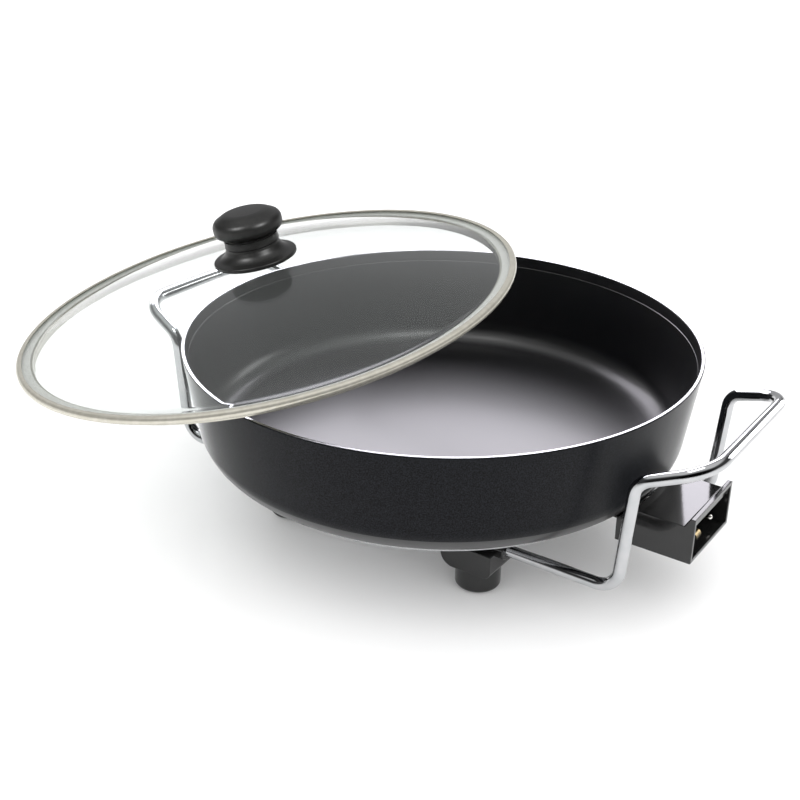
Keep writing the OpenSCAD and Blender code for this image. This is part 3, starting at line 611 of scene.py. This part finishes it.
glass_top = glass_low + glass_t
glass_bm = turned([
    (screw_hole_r, glass_mid, 0), (tangent_r, glass_mid, dome_r),
    (flare_r, glass_low, flare_round), (glass_r, glass_low, glass_round),
    (glass_r, glass_top, glass_round), (flare_r, glass_top, flare_round),
    (tangent_r, glass_mid + glass_t, dome_r),
    (screw_hole_r, glass_mid + glass_t, 0)], steps=192, closed=True)
glass = finish("lid_glass", Roughness=0.0, IOR=1.3, Transmission_Weight=0.98)
speckle(glass, 3.0, [(0.93, 0.96, 0.95), (0.96, 0.98, 0.97)])
glass_dome = shown("glass_dome", leaning(glass_bm), "lid", [glass], "lid_glass")

mid_r = lid_r - roll_r
inner_roll = roll_r - band_t
band_bm = turned([
    (mid_r - 2, roll_r, 0.3), (lid_r, roll_r, 2.9), (lid_r, -roll_r, 2.9), (skirt_r, -roll_r, 0.8),
    (skirt_r, skirt_low, 0.3), (skirt_r - band_t, skirt_low, 0.3), (skirt_r - band_t, -inner_roll, 0.5),
    (mid_r + inner_roll, -inner_roll, 2.1), (mid_r + inner_roll, inner_roll, 2.1),
    (mid_r - 2, inner_roll, 0.3)], steps=256, closed=True)
stainless = finish("band_steel", Metallic=0.6)
steel_noise = speckle(stainless, 240.0, [(0.50, 0.48, 0.41), (0.58, 0.56, 0.49)], detail=4.0)
grain(stainless, steel_noise, 0.000006, (0.18, 0.28))
band_ring = shown("band_ring", leaning(band_bm), "lid", [stainless], "lid_band")

silicone = finish("bead_silicone", Roughness=0.5)
silicone_noise = speckle(silicone, 400.0, [(0.24, 0.25, 0.22), (0.30, 0.31, 0.28)])
grain(silicone, silicone_noise, 0.00002)
coat_node("band_bead", silicone)
coat_node("knob_gaskets", silicone)

# ---------------------------------------------------------------- knob
# Three mouldings of satin phenolic on one screw: a flared base, a collar between two grooves
# and a mushroom cap with a brass insert.
knob_low = glass_mid + glass_t + 1
bore_r, insert_r = 2.6, 4.6
neck_r, cap_r, knob_r = 21.5, 27.5, 33.0
groove_floor_r = neck_r - 1.2
base_h, collar_h = 13.0, 6.0
satin = finish("satin_phenolic", Specular_IOR_Level=0.4)
satin_noise = speckle(satin, 900.0, [(0.004, 0.004, 0.004), (0.009, 0.009, 0.008)])
grain(satin, satin_noise, 0.00002, (0.34, 0.46))

base_bm = turned([
    (bore_r, knob_low, 0), (16.5, knob_low, 0), (32, knob_low - 0.4, 0), (knob_r, knob_low + 0.2, 0.4),
    (knob_r, knob_low + 2.8, 0.8), (24.5, knob_low + 4.8, 9), (neck_r, knob_low + 11.2, 4),
    (neck_r - 0.4, knob_low + base_h, 0), (bore_r, knob_low + base_h, 0)], steps=128, closed=True)
collar_low = knob_low + base_h
cap_low = collar_low + collar_h
collar_bm = turned([
    (bore_r, collar_low, 0), (groove_floor_r, collar_low, 0), (groove_floor_r, collar_low + 0.6, 0),
    (neck_r + 0.3, collar_low + 0.6, 0.3), (neck_r - 0.5, collar_low + collar_h / 2, 16),
    (neck_r - 0.2, cap_low, 0.3), (bore_r, cap_low, 0)], steps=128, closed=True)
cap_bm = turned([
    (0, cap_low + 12, 0), (insert_r, cap_low + 12, 0), (insert_r, cap_low + 0.1, 0),
    (groove_floor_r, cap_low + 0.1, 0), (groove_floor_r, cap_low + 1.2, 0),
    (neck_r, cap_low + 1.2, 0.5), (cap_r, cap_low + 5.4, 5), (cap_r, cap_low + 14.5, 6),
    (17, cap_low + 20.2, 14), (0, cap_low + 21, 0)], steps=128)
grips = [
    shown(node + "_grip", leaning(bm), "lid", [satin], node)
    for node, bm in (("knob_base", base_bm), ("knob_collar", collar_bm), ("knob_cap", cap_bm))]

# ---------------------------------------------------------------- what each lamp lights
# The soft boxes skip the lid and its knob, which show no glare, and the floor, where they would
# throw long shadows. The glass casts no shadow from them, so the pan under it stays bright.
without_glare = bpy.data.collections.new("without_glare")
for piece in [glass_dome, band_ring, floor] + grips:
    without_glare.objects.link(piece)
for linked in without_glare.collection_objects:
    linked.light_linking.link_state = "EXCLUDE"
casts_no_shadow = bpy.data.collections.new("casts_no_shadow")
casts_no_shadow.objects.link(glass_dome)
casts_no_shadow.collection_objects[0].light_linking.link_state = "EXCLUDE"
for lamp in boxes:
    lamp.light_linking.receiver_collection = without_glare
    lamp.light_linking.blocker_collection = casts_no_shadow

# Two small lamps beside the camera put the soft spots on the knob, and light nothing else
knob_only = bpy.data.collections.new("knob_only")
for piece in grips:
    knob_only.objects.link(piece)
for linked in knob_only.collection_objects:
    linked.light_linking.link_state = "INCLUDE"
knob_middle = (-0.148, -0.05, 0.215)
knob_lamp_size, knob_lamp_power = 0.3, 11.0
for name, place in (("knob_lamp_left", (-0.38, -0.88, 1.05)), ("knob_lamp_right", (0.71, -0.13, 1.05))):
    lamp = soft_box(name, place, knob_middle, knob_lamp_size, knob_lamp_size, knob_lamp_power)
    lamp.light_linking.receiver_collection = knob_only
